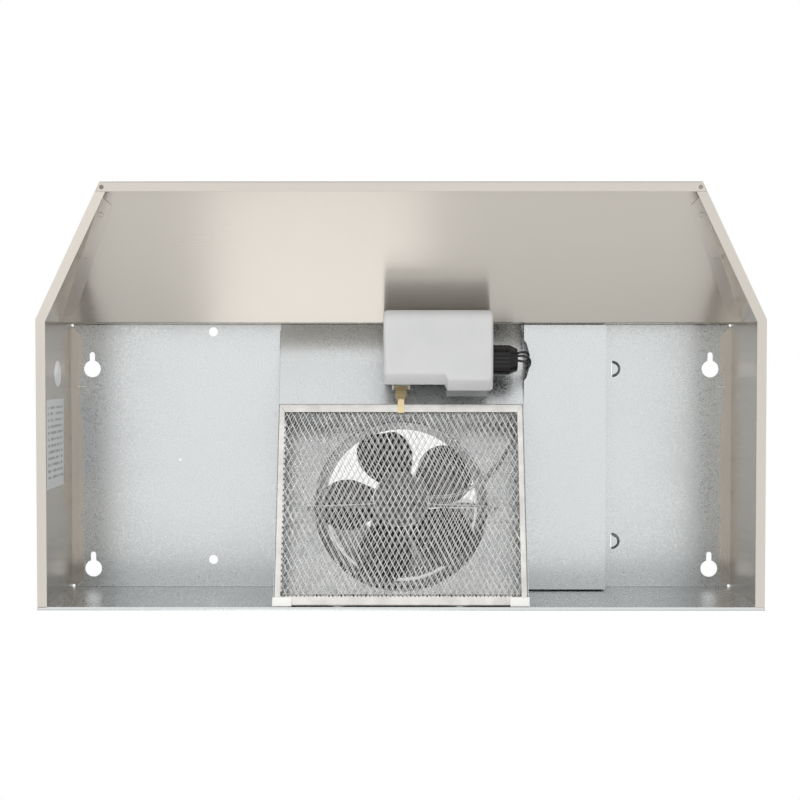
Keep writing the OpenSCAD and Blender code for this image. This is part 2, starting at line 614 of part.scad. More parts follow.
lead_r = 1.4;
lamp_lead_a = [[128.2, -43, 90], [133, -43, 91], [139, -42, 93], [143, -38, 97], [143, -32, 104],
    [141, -30, 112], [141, -29.5, 121], [145, -30, 129], [152, -32, 133.5], [160, -31, 134],
    [165.5, -27.5, 133.8], [166.6, -24.2, 133.8]];
lamp_lead_b = [[128.2, -38, 85], [134, -37, 85], [140, -36, 88], [141.5, -33, 95], [139.8, -28, 102],
    [140.1, -25, 112], [140.3, -24, 120.5], [144.5, -25, 127], [152, -27.5, 130], [161, -31, 130.5],
    [168, -29.5, 131.5], [170.2, -24.2, 132]];
neutral_lead = [[128.2, -46, 85], [132, -47, 85], [137, -47, 88], [141, -45, 94], [141.5, -40, 103],
    [140.8, -36, 112], [141, -35, 121], [145, -34.5, 127], [154, -34, 128], [166, -34, 127.5],
    [178, -29, 128.5], [184.5, -23, 129.5], [185.6, -18.2, 129.8]];
module lamp_leads() color(black_plastic) {
    lead(lamp_lead_a, lead_r);
    lead(lamp_lead_b, lead_r);
}
module lamp_neutral_lead() color(black_plastic) lead(neutral_lead, lead_r);

// ---------- motor and fan, along the fan's axis ----------

module on_fan() on_slope(fan_y, 0) children();
can_r = 29;
can_z = [-32, -5];
lead_exit = [-4, -20];    // where the leads leave the motor, beside and along the fan's axis
module lead_exit_hole() translate([20, lead_exit[0], lead_exit[1]]) rotate([0, 90, 0])
    cylinder(r = 3, h = 20, $fn = small_fn);
shaft_r = 4;
bearing_r = 11;
arm_y = 4.4;              // how far the arms sit behind the axis
foot_x = [103, 119];
foot_y = [-21, 20];
foot_t = 1.2;

module motor_can() color([0.25, 0.25, 0.26]) on_fan() difference() {
    translate([0, 0, can_z[0]]) cylinder(r = can_r, h = can_z[1] - can_z[0], $fn = round_fn);
    translate([0, 0, can_z[0] - cut]) cylinder(r = can_r - 1.2, h = can_z[1] - can_z[0] - 1.2 + cut, $fn = round_fn);
    translate([0, 0, can_z[0]]) cylinder(r = bearing_r, h = 40, $fn = round_fn);
    // cooling slots in the end that faces the fan
    for (a = [0 : 45 : 315]) rotate(a) translate([15, -2.5, can_z[1] - 3]) cube([9, 5, 6]);
    lead_exit_hole();
}
module motor_end_cap() color([0.3, 0.3, 0.31]) on_fan() difference() {
    union() {
        translate([0, 0, can_z[0] - 1.6]) cylinder(r = can_r, h = 1.5, $fn = round_fn);
        translate([0, 0, can_z[0] - 3]) cylinder(r = 9, h = 1.5, $fn = round_fn);
        // cup round the inlet bearing
        translate([0, 0, can_z[0] - 0.2]) cylinder(r = bearing_r + 1.4, h = 3.7, $fn = round_fn);
    }
    translate([0, 0, can_z[0] - 0.1]) cylinder(r = bearing_r, h = 6, $fn = round_fn);
    translate([0, 0, can_z[0] - 2]) cylinder(r = 5, h = 3, $fn = round_fn);
    for (a = [30 : 60 : 330]) rotate(a) translate([15, -2.5, can_z[0] - 4]) cube([9, 5, 6]);
}
module stator_core() color(steel) on_fan() difference() {
    translate([0, 0, -26]) cylinder(r = can_r - 1.25, h = 12, $fn = round_fn);
    translate([0, 0, -27]) cylinder(r = 14.2, h = 14, $fn = round_fn);
    for (a = [0 : 60 : 300]) rotate(a) translate([19.5, 0, -27]) cylinder(r = 3.6, h = 14, $fn = small_fn);
}
module stator_coils() color([0.62, 0.33, 0.16]) on_fan() for (a = [0 : 60 : 300]) rotate(a)
    translate([19.5, 0, -28.5]) cylinder(r = 3.5, h = 17, $fn = small_fn);
module rotor() color(steel) on_fan() difference() {
    translate([0, 0, -25.5]) cylinder(r = 13.8, h = 11, $fn = round_fn);
    translate([0, 0, -27]) cylinder(r = shaft_r, h = 14, $fn = round_fn);
}
module bearing(z, h) on_fan() translate([0, 0, z]) difference() {
    cylinder(r = bearing_r - 0.02, h = h, $fn = round_fn);
    translate([0, 0, -cut]) cylinder(r = shaft_r + 0.05, h = h + 2 * cut, $fn = round_fn);
}
module inlet_bearing() color([0.72, 0.56, 0.3]) bearing(can_z[0], 4.5);
module outlet_bearing() color([0.72, 0.56, 0.3]) bearing(can_z[1] - 5, 5);
module motor_shaft() color(steel) on_fan() translate([0, 0, can_z[0] + 0.4])
    cylinder(r = shaft_r, h = 22 - can_z[0], $fn = round_fn);

module fan_arm() {
    // arm on edge, from the band round the motor to the foot
    translate([0, arm_y + foot_t, 0]) rotate([90, 0, 0]) linear_extrude(foot_t) polygon([
        [can_r + 1, -28], [can_r + 1, -12], [90, -12], [foot_x[0] - 3, -plate_t / 2 - 0.1],
        [foot_x[0] + 4, -plate_t / 2 - 0.1], [foot_x[0] + 4, -5], [94, -16], [60, -22]]);
    difference() {
        translate([foot_x[0], foot_y[0], -plate_t / 2 - 0.1 - foot_t])
            cube([foot_x[1] - foot_x[0], foot_y[1] - foot_y[0], foot_t]);
        translate([foot_x[0] + 2.5, foot_y[0] + 2.5, -5]) cube([11, 9, 6]);
        translate([foot_x[0] + 8, foot_y[1] - 6.5, -5]) cylinder(r = 2.3, h = 6, $fn = small_fn);
    }
}
module motor_bracket() color(galvanised) on_fan() {
    difference() {
        translate([0, 0, -28]) cylinder(r = can_r + 1.4, h = 16, $fn = round_fn);
        translate([0, 0, -29]) cylinder(r = can_r + 0.05, h = 18, $fn = round_fn);
        lead_exit_hole();
    }
    fan_arm();
    mirror([1, 0, 0]) fan_arm();
}
module bracket_screws() color(steel) on_fan() for (sx = [-1, 1])
    translate([sx * (foot_x[0] + 8), foot_y[1] - 6.5, -plate_t / 2 - foot_t - 0.15]) hex_screw(4.4, 1.2, 8, 11.5);

hub_z = 3;
// a petal's outline as seen along the axis: a root and a lobe swept off centre, cut off round the tips
module petal() intersection() {
    circle(r = fan_r, $fn = round_fn);
    hull() {
        translate([26, 3]) circle(r = 12.5, $fn = small_fn);
        translate([59.5, -4.5]) circle(r = 31, $fn = round_fn);
    }
}

module fan_blade() color([0.1, 0.1, 0.1]) on_fan() translate([0, 0, hub_z]) difference() {
    union() {
        cylinder(r = 30, h = 3, $fn = round_fn);
        for (i = [0 : 4]) rotate(-31 + 72 * i) rotate([fan_pitch, 0, 0]) translate([0, 0, 0.6])
            linear_extrude(1.8) scale([1, 1 / cos(fan_pitch)]) petal();
    }
    translate([0, 0, -10]) cylinder(r = 9.05, h = 30, $fn = round_fn);
}
module fan_hub() color([0.72, 0.56, 0.3]) on_fan() difference() {
    union() {
        translate([0, 0, hub_z - 3]) cylinder(r = 9, h = 12, $fn = round_fn);
        translate([0, 0, hub_z - 3]) cylinder(r = 14, h = 2.9, $fn = round_fn);
    }
    translate([0, 0, -10]) cylinder(r = shaft_r, h = 30, $fn = round_fn);
}
module hub_nut() color(steel) on_fan() translate([0, 0, hub_z + 9]) difference() {
    cylinder(d = 14, h = 5, $fn = 6);
    translate([0, 0, -cut]) cylinder(r = shaft_r, h = 8, $fn = small_fn);
}

// Route of the motor leads down the slope to the plate, up through it and into the wiring space
motor_lead_slope = [[28.6, fan_y + lead_exit[0], lead_exit[1]], [40, 206, -19.5], [60, 203, -16], [85, 189, -12], [108, 165, -8],
    [123, 143, -5], [129, 133, -2], [130.3, 131, 5], [130.5, 129, 13], [131, 124, 20], [134, 121, 22.5],
    [141, 120, 22.5]];
motor_lead_top = [[152, 36, 134], [170, 24, 132.5], [188, 14, 132], [199, 9, 132], [202.4, 3.4, 132]];
function from_slope(p) = [p[0], slope_y + p[1] * cos(slope) + p[2] * sin(slope),
    slope_z - p[1] * sin(slope) + p[2] * cos(slope)];
module motor_leads() color([0.12, 0.12, 0.13]) for (d = [-1, 1])
    lead([for (p = concat([for (q = motor_lead_slope) from_slope(q)], motor_lead_top)) p + d * [0.6, 1, 0]],
        0.9, [0.3, 0.5, 1], 2);

// ---------- duct collar and damper ----------

rod_z = body_h + 11;
rod_r = 1.5;
flap_r = 85.4;
flap_t = 0.6;
flap_drop = 1.8;           // the flap lies this far to one side of the rod
front_flap_open = 88;      // the front flap stands open

module duct_collar() color(galvanised) translate([0, duct_y, 0]) difference() {
    union() {
        translate([0, 0, body_h - 0.8]) cylinder(r = collar_r, h = collar_h + 0.8, $fn = round_fn);
        translate([0, 0, body_h - 0.8]) cylinder(r = collar_r + 13, h = sheet_t, $fn = round_fn);
    }
    translate([0, 0, body_h - 3]) cylinder(r = collar_r - 0.6, h = collar_h + 6, $fn = round_fn);
    for (a = [45 : 90 : 315]) rotate(a) translate([collar_r + 7, 0, body_h - 3])
        cylinder(r = 2, h = 6, $fn = small_fn);
    translate([-collar_r - cut, 0, rod_z]) rotate([0, 90, 0])
        cylinder(r = rod_r + 0.02, h = 2 * collar_r + 2 * cut, $fn = small_fn);
    // the flange stays clear of the wall
    translate([-120, rear_y - duct_y - 0.4, body_h - 2]) cube([240, 20, 4]);
}
module collar_screws() color(steel) translate([0, duct_y, 0]) for (a = [45 : 90 : 315]) rotate(a)
    translate([collar_r + 7, 0, body_h]) mirror([0, 0, 1]) {
        translate([0, 0, -2.2]) cylinder(r1 = 2.4, r2 = 3.6, h = 2.2, $fn = small_fn);
        translate([0, 0, -0.1]) cylinder(r = 1.9, h = 0.85, $fn = small_fn);
    }
module damper_rod() color(steel) translate([-collar_r, duct_y, rod_z]) rotate([0, 90, 0])
    cylinder(r = rod_r, h = 2 * collar_r, $fn = small_fn);

// Half disc that reaches towards -Y from the rod, with its knuckles at knuckle_x
module flap(knuckle_x) {
    difference() {
        union() {
            intersection() {
                translate([0, 0, -flap_drop - flap_t / 2]) cylinder(r = flap_r, h = flap_t, $fn = round_fn);
                translate([-100, -104, -5]) cube([200, 100, 10]);
            }
            for (x = knuckle_x) {
                translate([x, 0, 0]) rotate([0, 90, 0]) cylinder(r = 2.5, h = 16, $fn = small_fn);
                translate([x, -5, -flap_drop - flap_t / 2]) cube([16, 5, flap_t]);
            }
        }
        translate([-100, 0, 0]) rotate([0, 90, 0]) cylinder(r = rod_r + 0.06, h = 200, $fn = small_fn);
        for (sx = [-1, 1]) translate([0, 0, -4]) linear_extrude(4)
            polygon([[sx * 32, -3.9], [sx * 36, -26], [sx * 57, -17], [sx * 60, -3.9]]);
    }
}
module front_flap() color(galvanised) translate([0, duct_y, rod_z]) rotate([-front_flap_open, 0, 0])
    flap([-80, 4, 64]);
module rear_flap() color(galvanised) translate([0, duct_y, rod_z]) mirror([0, 1, 0]) flap([-22, 22]);

// ---------- switches ----------

bezel = [74, 27, 2.4];
rocker_x = [switch_x - switch_pitch / 2, switch_x + switch_pitch / 2];
rocker_y = fold_y - 1.2;
light_tilt = 8;

module switch_bezel() color(black_plastic) difference() {
    translate([switch_x - bezel[0] / 2, fold_y - bezel[2], switch_z - bezel[1] / 2])
        cube([bezel[0], bezel[2] - 0.05, bezel[1]]);
    for (x = rocker_x) translate([x - rocker_w / 2 - 0.5, fold_y - 6, switch_z - rocker_h / 2 - 1])
        cube([rocker_w + 1, 10, rocker_h + 2]);
}
module rocker(x, tilt) translate([x, rocker_y, switch_z]) rotate([tilt, 0, 0]) {
    across(-rocker_w / 2, rocker_w / 2) polygon([[2.2, -5], [2.2, 5], [-1.4, rocker_h / 2 - 0.3],
        [-4.4, rocker_h / 2 - 0.5], [-3.1, 0], [-4.4, -rocker_h / 2 + 0.5], [-1.4, -rocker_h / 2 + 0.3]]);
    intersection() {
        translate([-rocker_w / 2, 0, 0]) rotate([0, 90, 0]) cylinder(r = 5, h = rocker_w, $fn = small_fn);
        translate([-rocker_w / 2 - cut, 0, -6]) cube([rocker_w + 2 * cut, 6, 12]);
    }
}
module light_rocker() color([0.9, 0.9, 0.88]) rocker(rocker_x[0], light_tilt);
module fan_rocker() color([0.9, 0.9, 0.88]) rocker(rocker_x[1], 0);

module switch_body(x, terminals) {
    front = fold_y + 0.3;
    difference() {
        translate([x - rocker_w / 2 - 2, front, switch_z - 9.5]) cube([rocker_w + 4, 22, 19]);
        translate([x - rocker_w / 2 - 0.5, rocker_y, switch_z]) rotate([0, 90, 0])
            cylinder(r = 8.6, h = rocker_w + 1, $fn = round_fn);
    }
    for (i = [0 : terminals - 1])
        translate([x - 8 + 16 * i / (terminals - 1) - 0.4, front + 21.9, switch_z - 3.2]) cube([0.8, 7, 6.3]);
}
module light_switch_body() color(black_plastic) switch_body(rocker_x[0], 2);
module fan_switch_body() color(black_plastic) switch_body(rocker_x[1], 3);

// Wire connectors: mouth, and the direction from the mouth to the tip along Y
connectors = [[[168, -24, 132], 1], [[186, -18, 132], 1], [[204, 2, 132], -1]];
module wire_nuts() color([0.85, 0.45, 0.12]) for (c = connectors) translate(c[0]) rotate([-90 * c[1], 0, 0])
    difference() {
        cylinder(r1 = 5.2, r2 = 3.6, h = 17, $fn = small_fn);
        for (a = [0 : 45 : 315]) rotate(a) translate([5.6, 0, -cut]) cylinder(r = 0.9, h = 20, $fn = 12);
    }
terminal_y = fold_y + 29.5;
switch_lead_routes = [
    [[161, terminal_y, 136], [161, -46, 136], [163, -40, 136.5], [167, -32, 136.8], [169.6, -24.2, 135.3]],
    [[177, terminal_y, 136], [177, -46, 136], [180, -38, 134.6], [183.6, -28, 133.8], [184.4, -18.2, 133.6]],
    [[195, terminal_y, 136], [195, -46, 136], [193, -38, 134.8], [189.5, -28, 133.6], [188, -18.2, 133.2]],
    [[203, terminal_y, 136], [203, -46, 136], [208, -40, 134.5], [213, -28, 133], [214, -10, 132.4],
        [213, 2, 132], [210, 8, 132], [207, 7, 132], [206.4, 2.2, 132]]];
module switch_leads() color([0.75, 0.12, 0.1]) for (r = switch_lead_routes) lead(r, 1.1, [0.2, 0.1, 1], 3);

// Snap-in bushing for the supply cable in the rear leaf
module cable_bushing() color(black_plastic) translate([bushing[0], rear_y, bushing[1]]) rotate([90, 0, 0]) difference() {
    union() {
        cylinder(r = bushing_r - 0.05, h = 12, $fn = round_fn);
        translate([0, 0, sheet_t + 0.1]) cylinder(r = bushing_r + 2.2, h = 2, $fn = round_fn);
        translate([0, 0, 9]) cylinder(r = bushing_r + 1, h = 3, $fn = round_fn);
    }
    translate([0, 0, -cut]) cylinder(r = 5, h = 20, $fn = round_fn);
}
module ground_screw() color([0.15, 0.5, 0.25]) translate([215, 60, top_z - 0.05]) hex_screw(3.4, 0.1, 7, 9);

// ---------- labels ----------

label_y = [4.5, 101];
label_z = [39, 114];
module rating_label() color([0.87, 0.88, 0.88]) translate([-half_w + sheet_t + 0.05, 0, 0]) across(0, 0.15)
    polygon([[label_y[0], label_z[0]], [label_y[0], label_z[1]], [label_y[1], label_z[1] - 3],
        [label_y[1], label_z[0] - 1]]);
module clear_sticker() color([0.8, 0.8, 0.82]) translate([-half_w + sheet_t + 0.05, -23.5, 88]) rotate([0, 90, 0])
    cylinder(r = 14.5, h = 0.12, $fn = round_fn);

front_panel();
left_side_panel();
right_side_panel();
top_rear_panel();
venturi_plate();
left_plenum_wall();
right_plenum_wall();
filter_housing();
wiring_cover();
cover_screws();
filter_frame();
filter_mesh();
left_filter_corner();
right_filter_corner();
filter_pull_tab();
latch_tongue();
latch_base();
latch_foot();
latch_hooks();
lamp_lens();
lamp_socket();
socket_bracket();
bulb_glass();
bulb_base();
lamp_leads();
lamp_neutral_lead();
motor_bracket();
bracket_screws();
motor_can();
motor_end_cap();
stator_core();
stator_coils();
rotor();
inlet_bearing();
outlet_bearing();
motor_shaft();
motor_leads();
fan_hub();
fan_blade();
hub_nut();
duct_collar();
collar_screws();
damper_rod();
front_flap();
rear_flap();
switch_bezel();
light_rocker();
fan_rocker();
light_switch_body();
fan_switch_body();
switch_leads();
wire_nuts();
cable_bushing();
ground_screw();
rating_label();
clear_sticker();
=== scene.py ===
"""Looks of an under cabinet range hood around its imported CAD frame.

Metres, in the CAD's frame: +X right, +Y towards the wall, +Z up, origin in the middle of the bottom rim.
The camera looks up into the open hood from below, as the photograph does.
"""
import json
import math

import bmesh
import bpy
import numpy as np
from mathutils import Matrix, Vector


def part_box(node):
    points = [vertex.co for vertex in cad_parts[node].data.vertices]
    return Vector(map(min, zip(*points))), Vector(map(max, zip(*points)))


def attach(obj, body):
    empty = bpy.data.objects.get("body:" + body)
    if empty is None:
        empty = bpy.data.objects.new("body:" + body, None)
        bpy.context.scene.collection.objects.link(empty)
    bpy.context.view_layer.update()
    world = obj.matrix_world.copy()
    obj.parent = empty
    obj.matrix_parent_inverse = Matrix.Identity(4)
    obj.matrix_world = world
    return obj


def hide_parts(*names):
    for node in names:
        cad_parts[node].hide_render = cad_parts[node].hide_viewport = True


MM = 0.001

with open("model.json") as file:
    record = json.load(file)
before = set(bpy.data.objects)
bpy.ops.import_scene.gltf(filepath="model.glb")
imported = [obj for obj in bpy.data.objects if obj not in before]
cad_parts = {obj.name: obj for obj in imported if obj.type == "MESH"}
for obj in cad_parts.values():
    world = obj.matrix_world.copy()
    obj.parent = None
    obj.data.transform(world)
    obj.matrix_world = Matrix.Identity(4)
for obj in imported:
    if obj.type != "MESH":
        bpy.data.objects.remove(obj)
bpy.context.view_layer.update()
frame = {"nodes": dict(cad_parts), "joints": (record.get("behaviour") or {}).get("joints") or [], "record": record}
cad_nodes = frame["nodes"]


# ---------- materials ----------

class Look:
    """A procedural material: a Principled shader driven by noise in the object's own metres."""

    def __init__(self, name, color, roughness, metallic=0.0, **constants):
        self.material = bpy.data.materials.new(name)
        self.material.use_nodes = True
        self.nodes = self.material.node_tree.nodes
        self.links = self.material.node_tree.links
        self.shader = self.nodes["Principled BSDF"]
        self.set("Base Color", (*color, 1.0))
        self.set("Roughness", roughness)
        self.set("Metallic", metallic)
        for socket, value in constants.items():
            self.set(socket.replace("_", " "), value)
        self.coords = self.nodes.new("ShaderNodeTexCoord").outputs["Object"]
        self.height = None

    def set(self, socket, value):
        self.shader.inputs[socket].default_value = value

    def node(self, kind, **values):
        made = self.nodes.new(kind)
        for name, value in values.items():
            if name in made.inputs:
                socket = made.inputs[name]
                if isinstance(value, bpy.types.NodeSocket):
                    self.links.new(value, socket)
                else:
                    socket.default_value = value
            else:
                setattr(made, name, value)
        return made

    def stretched(self, scale):
        return self.node("ShaderNodeMapping", Vector=self.coords, Scale=scale).outputs[0]

    def noise(self, scale, detail=2.0, stretch=None, seed=0.0):
        """Soft noise; scale counts features per metre, or stretch gives that per axis."""
        where = self.stretched(stretch) if stretch else self.coords
        made = self.node("ShaderNodeTexNoise", noise_dimensions="4D", Vector=where, W=seed,
                         Scale=1.0 if stretch else scale, Detail=detail)
        return made.outputs["Fac"]

    def cells(self, scale, output="Color"):
        return self.node("ShaderNodeTexVoronoi", Vector=self.coords, Scale=scale).outputs[output]

    def grey(self, color):
        return self.node("ShaderNodeRGBToBW", Color=color).outputs[0]

    def remap(self, value, low, high, at=(0.3, 0.7)):
        made = self.node("ShaderNodeMapRange", Value=value)
        for socket, number in zip(("From Min", "From Max", "To Min", "To Max"), (*at, low, high)):
            made.inputs[socket].default_value = number
        return made.outputs[0]

    def math(self, operation, a, b=0.0):
        made = self.node("ShaderNodeMath", operation=operation)
        for socket, value in zip(made.inputs, (a, b)):
            if isinstance(value, bpy.types.NodeSocket):
                self.links.new(value, socket)
            else:
                socket.default_value = value
        return made.outputs[0]

    def mix(self, factor, a, b):
        made = self.node("ShaderNodeMix", data_type="RGBA")
        self.links.new(factor, made.inputs[0])
        for socket, color in ((made.inputs[6], a), (made.inputs[7], b)):
            if isinstance(color, bpy.types.NodeSocket):
                self.links.new(color, socket)
            else:
                socket.default_value = (*color, 1.0)
        return made.outputs[2]

    def color(self, factor, a, b):
        self.links.new(self.mix(factor, a, b), self.shader.inputs["Base Color"])

    def roughness(self, value, low, high):
        self.links.new(self.remap(value, low, high), self.shader.inputs["Roughness"])

    def bump(self, value, strength, distance):
        made = self.node("ShaderNodeBump", Height=value, Strength=strength, Distance=distance)
        if self.height is not None:
            self.links.new(self.height, made.inputs["Normal"])
        self.height = made.outputs[0]
        self.links.new(self.height, self.shader.inputs["Normal"])


def shade(color, factor):
    return tuple(min(1.0, c * factor) for c in color)


def brushed_look(name, color, along):
    """Brushed sheet: fine scratches along one axis, which spread a reflection across the grain."""
    look = Look(name, color, 0.2, 1.0)
    stretch = [1100.0, 1100.0, 1100.0]
    stretch[along] = 9.0
    scratches = look.noise(0, 3.0, stretch)
    cloud = look.noise(9.0, 3.0, seed=5.0)
    look.color(look.math("MULTIPLY", look.math("ADD", scratches, cloud), 0.5),
               shade(color, 0.93), shade(color, 1.05))
    look.roughness(look.math("MULTIPLY", look.math("ADD", scratches, cloud), 0.5), 0.21, 0.28)
    look.bump(scratches, 0.2, 0.00008)
    grain = [0.0, 0.0, 0.0]
    grain[along] = 1.0
    across = look.node("ShaderNodeVectorMath", operation="CROSS_PRODUCT",
                       Vector=look.node("ShaderNodeNewGeometry").outputs["Normal"])
    across.inputs[1].default_value = grain
    look.shader.inputs["Anisotropic"].default_value = 0.95
    look.links.new(across.outputs[0], look.shader.inputs["Tangent"])
    return look.material


def galvanised_look(name, color):
    """Zinc coat: fine flat spangle, a little grain along the rolling direction and a few dull stains."""
    look = Look(name, color, 0.3, 0.95)
    spangle = look.grey(look.cells(520.0))
    rolled = look.noise(0, 2.0, (900.0, 90.0, 300.0))
    stain = look.noise(14.0, 4.0, seed=2.0)
    look.color(look.math("MULTIPLY", look.math("ADD", spangle, rolled), 0.5),
               shade(color, 0.94), shade(color, 1.05))
    look.roughness(look.math("MULTIPLY", look.math("ADD", spangle, stain), 0.6), 0.22, 0.34)
    look.bump(rolled, 0.08, 0.00002)
    return look.material


def sheet_look(name, color, roughness, metallic):
    """Plain metal: soft variation of colour and gloss, with short handling scratches."""
    look = Look(name, color, roughness, metallic)
    cloud = look.noise(60.0, 3.0)
    scratches = look.noise(0, 3.0, (90.0, 900.0, 400.0), seed=4.0)
    look.color(look.remap(cloud, 0.0, 1.0), shade(color, 0.86), shade(color, 1.1))
    look.roughness(scratches, roughness * 0.75, roughness * 1.3)
    look.bump(scratches, 0.1, 0.0001)
    return look.material


def plastic_look(name, color, roughness, grain=1800.0, depth=0.0001, **constants):
    """Moulded plastic: a fine skin and slightly uneven gloss."""
    look = Look(name, color, roughness, 0.0, **constants)
    skin = look.noise(grain, 2.0)
    cloud = look.noise(35.0, 2.0, seed=7.0)
    look.color(look.remap(cloud, 0.0, 1.0), shade(color, 0.93), shade(color, 1.05))
    look.roughness(cloud, roughness * 0.85, min(1.0, roughness * 1.2))
    look.bump(skin, 0.15, depth)
    return look.material


def lens_look():
    look = Look("milky_lens", (0.72, 0.72, 0.71), 0.42,
                Transmission_Weight=0.22, IOR=1.49, Subsurface_Weight=0.5,
                Subsurface_Scale=0.01)
    look.set("Subsurface Radius", (1.0, 0.95, 0.9))
    haze = look.noise(24.0, 2.0)
    look.color(look.remap(haze, 0.0, 1.0), (0.74, 0.74, 0.735), (0.78, 0.78, 0.77))
    look.roughness(haze, 0.36, 0.48)
    look.bump(look.noise(500.0, 2.0), 0.05, 0.0001)
    return look.material


def bulb_look():
    look = Look("frosted_glass", (0.97, 0.97, 0.95), 0.35,
                Transmission_Weight=0.55, IOR=1.45, Subsurface_Weight=0.2,
                Subsurface_Scale=0.004)
    look.roughness(look.noise(80.0, 2.0), 0.28, 0.42)
    return look.material


def copper_look():
    """Varnished winding: fine turns of wire."""
    look = Look("copper_winding", (0.62, 0.33, 0.16), 0.32, 0.7)
    wave = look.node("ShaderNodeTexWave", Vector=look.coords,
                     Scale=420.0, Distortion=2.0, Detail=1.0).outputs["Fac"]
    look.color(wave, (0.36, 0.16, 0.07), (0.72, 0.4, 0.2))
    look.bump(wave, 0.6, 0.0004)
    return look.material


def label_look(box):
    """Plain label with rows of grey bars where the real one has its print."""
    look = Look("label_film", (0.74, 0.75, 0.75), 0.45)
    y, z = (look.node("ShaderNodeSeparateXYZ", Vector=look.coords).outputs[i] for i in (1, 2))
    low, high = box
    across = look.remap(y, 0.0, 1.0, (low.y, high.y))
    rows = look.math("GREATER_THAN", look.math("SINE", look.math("MULTIPLY", across, 2 * math.pi * 14)), 0.25)
    words = look.math("GREATER_THAN", look.noise(0, 1.0, (1.0, 60.0, 260.0)), 0.46)
    inside = look.math("MULTIPLY",
                       look.math("LESS_THAN",
                                  look.math("ABSOLUTE", look.math("SUBTRACT", across, 0.5)), 0.42),
                       look.math("LESS_THAN",
                                  look.math("ABSOLUTE", look.math("SUBTRACT", z, (low.z + high.z) / 2)),
                                 0.42 * (high.z - low.z)))
    ink = look.math("MULTIPLY", look.math("MULTIPLY", rows, words), inside)
    look.color(ink, (0.74, 0.75, 0.75), (0.38, 0.39, 0.4))
    look.roughness(look.noise(60.0), 0.38, 0.5)
    return look.material


STEEL = (0.505, 0.475, 0.432)
ZINC = (0.53, 0.545, 0.55)
looks = {
    "stainless": brushed_look("brushed_stainless", STEEL, 0),
    "galvanised": galvanised_look("galvanised", ZINC),
    "filter_aluminium": sheet_look("filter_aluminium", (0.62, 0.605, 0.58), 0.36, 0.75),
    "mesh_aluminium": sheet_look("mesh_aluminium", (0.6, 0.595, 0.58), 0.3, 0.85),
    "plated_steel": sheet_look("plated_steel", (0.56, 0.56, 0.57), 0.28, 1.0),
    # The motor's steel is near-black: partly its own dark finish, partly painted shade for the shadow it sits in
    # behind the fan.
    "motor_steel": sheet_look("motor_steel", (0.13, 0.13, 0.135), 0.42, 0.4),
    "core_steel": sheet_look("core_steel", (0.4, 0.4, 0.41), 0.45, 0.9),
    "copper_winding": copper_look(),
    "bearing_bronze": sheet_look("bearing_bronze", (0.66, 0.47, 0.24), 0.38, 0.95),
    "fan_plastic": plastic_look("fan_plastic", (0.03, 0.03, 0.033), 0.42, Specular_IOR_Level=0.3),
    "white_plastic": plastic_look("white_plastic", (0.78, 0.78, 0.76), 0.35),
    "tan_plastic": plastic_look("tan_plastic", (0.76, 0.6, 0.34), 0.3,
                                Subsurface_Weight=0.4, Subsurface_Scale=0.004),
    "lens_plastic": lens_look(),
    "black_phenolic": plastic_look("black_phenolic", (0.012, 0.01, 0.011), 0.14, Specular_IOR_Level=0.3),
    "black_plastic": plastic_look("black_plastic", (0.02, 0.02, 0.021), 0.42),
    "rocker_plastic": plastic_look("rocker_plastic", (0.78, 0.77, 0.74), 0.32),
    "bulb_glass": bulb_look(),
    "black_wire": plastic_look("black_wire", (0.015, 0.015, 0.016), 0.34),
    "red_wire": plastic_look("red_wire", (0.5, 0.04, 0.03), 0.36),
    "connector_plastic": plastic_look("connector_plastic", (0.75, 0.3, 0.05), 0.4),
    "green_screw": sheet_look("green_screw", (0.07, 0.3, 0.13), 0.3, 0.7),
    "label_paper": label_look(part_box("rating_label")),
    "clear_film": plastic_look("clear_film", (0.72, 0.72, 0.74), 0.18, Coat_Weight=0.6),
}
# The side panels are brushed front to back, and the motor's leads are shown in grey insulation.
side_steel = brushed_look("brushed_stainless_side", STEEL, 1)
grey_lead = plastic_look("grey_lead", (0.4, 0.4, 0.4), 0.45)
SIDE_NODES = ("left_side_panel", "right_side_panel")

for part in frame["record"]["subparts"]:
    material = side_steel if part["node"] in SIDE_NODES else looks[part["material_slot"]]
    if part["node"] == "motor_leads":
        material = grey_lead
    for material_slot in cad_nodes[part["node"]].material_slots:
        material_slot.material = material


# ---------- mesh helpers ----------

def piece(name, vertices, faces, slot, body, stands_for=(), smooth=40.0):
    """A new mesh object that takes its finish from a slot and rides on a body."""
    mesh = bpy.data.meshes.new(name)
    mesh.from_pydata([tuple(v) for v in vertices], [], [tuple(f) for f in faces])
    made = bpy.data.objects.new(name, mesh)
    bpy.context.scene.collection.objects.link(made)
    settle(made, smooth)
    mesh.materials.append(looks[slot])
    if stands_for:
        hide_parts(*stands_for)
    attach(made, body)
    return made


def settle(made, smooth):
    """Welds, points the faces outwards and sets smooth shading up to an angle."""
    work = bmesh.new()
    work.from_mesh(made.data)
    bmesh.ops.remove_doubles(work, verts=work.verts, dist=1e-6)
    bmesh.ops.recalc_face_normals(work, faces=work.faces)
    for face in work.faces:
        face.smooth = True
    for edge in work.edges:
        edge.smooth = edge.calc_face_angle(0.0) < math.radians(smooth)
    work.to_mesh(made.data)
    work.free()


def modify(made, kind, **values):
    """Adds a modifier and applies it."""
    modifier = made.modifiers.new(kind.lower(), kind)
    for name, value in values.items():
        setattr(modifier, name, value)
    bpy.context.view_layer.objects.active = made
    with bpy.context.temp_override(object=made, active_object=made, selected_objects=[made]):
        bpy.ops.object.modifier_apply(modifier=modifier.name)
    return made


